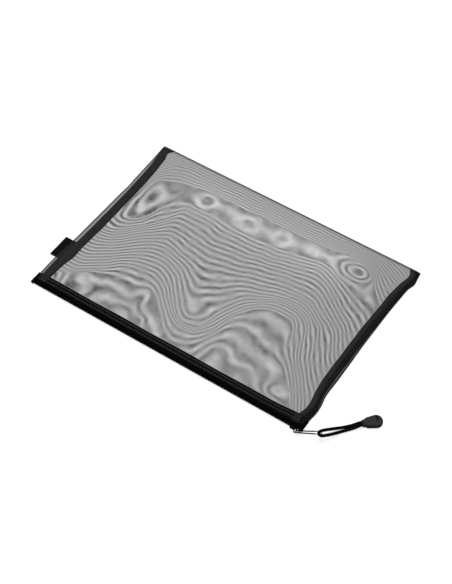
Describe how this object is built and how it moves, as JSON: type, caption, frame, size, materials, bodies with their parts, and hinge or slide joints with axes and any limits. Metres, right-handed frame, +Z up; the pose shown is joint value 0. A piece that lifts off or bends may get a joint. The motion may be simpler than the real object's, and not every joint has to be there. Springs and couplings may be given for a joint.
{
  "type": "zipped mesh document wallet",
  "caption": "Flat see-through mesh document wallet with bound side seams, a zip along one long edge, a cord pull with a moulded grip and a ribbon side tab.",
  "frame": {"origin": "middle of the back panel, on its outer face, where the wallet lies on a table", "axes": "+X along the zip towards the parked slider, +Y from the zip to the folded edge, +Z up out of the front panel"},
  "size_m": [0.4118, 0.2446, 0.0125],
  "materials": {
    "mesh": "fine black nylon mesh",
    "binding": "black woven binding tape",
    "zip_tape": "black woven zip tape",
    "zip_teeth": "black nylon coil",
    "coil_cord": "black filler cord",
    "zip_stop": "black nylon",
    "slider": "black enamel",
    "bright_wire": "bright nickel",
    "dark_wire": "dark nickel",
    "cord": "black braided cord",
    "grip": "matt moulded rubber",
    "ribbon": "black ribbed ribbon"
  },
  "bodies": {
    "wallet": {"mesh_body": "mesh", "left_seam_tape": "binding", "right_seam_tape": "binding", "upper_zip_tape": "zip_tape", "lower_zip_tape": "zip_tape", "upper_zip_teeth": "zip_teeth", "lower_zip_teeth": "zip_teeth", "upper_coil_cord": "coil_cord", "lower_coil_cord": "coil_cord", "left_zip_stop": "zip_stop", "right_zip_stops": "zip_stop", "tab_tail": "ribbon"},
    "slider": {"slider_body": "slider", "slider_bail": "bright_wire"},
    "link": {"pull_link": "dark_wire"},
    "pull": {"pull_cord": "cord", "pull_grip": "grip"},
    "tab": {"side_tab": "ribbon"}
  },
  "joints": [
    {"name": "slider_travel", "type": "slide", "parent": "wallet", "child": "slider", "axis": [-1, 0, 0], "range_m": [0, 0.325], "deforming": ["upper_zip_teeth", "lower_zip_teeth", "upper_coil_cord", "lower_coil_cord"]},
    {"name": "link_swing", "type": "hinge", "parent": "slider", "child": "link", "pos_m": [0.167, -0.1252, 0.003], "axis": [0, 0, 1], "range_deg": [-165, 0]},
    {"name": "pull_lift", "type": "hinge", "parent": "link", "child": "pull", "pos_m": [0.1922, -0.1155, 0.0098], "axis": [0.8, -0.6, 0], "range_deg": [0, 100], "deforming": ["pull_cord"]},
    {"name": "tab_flap", "type": "hinge", "parent": "wallet", "child": "tab", "pos_m": [-0.17075, -0.066, 0.0025], "axis": [0, 1, 0], "range_deg": [0, 100]}
  ],
  "couplings": [
    {"joint": "pull_lift", "follows": "slider_travel", "rad_per_m": 5.37}
  ]
}
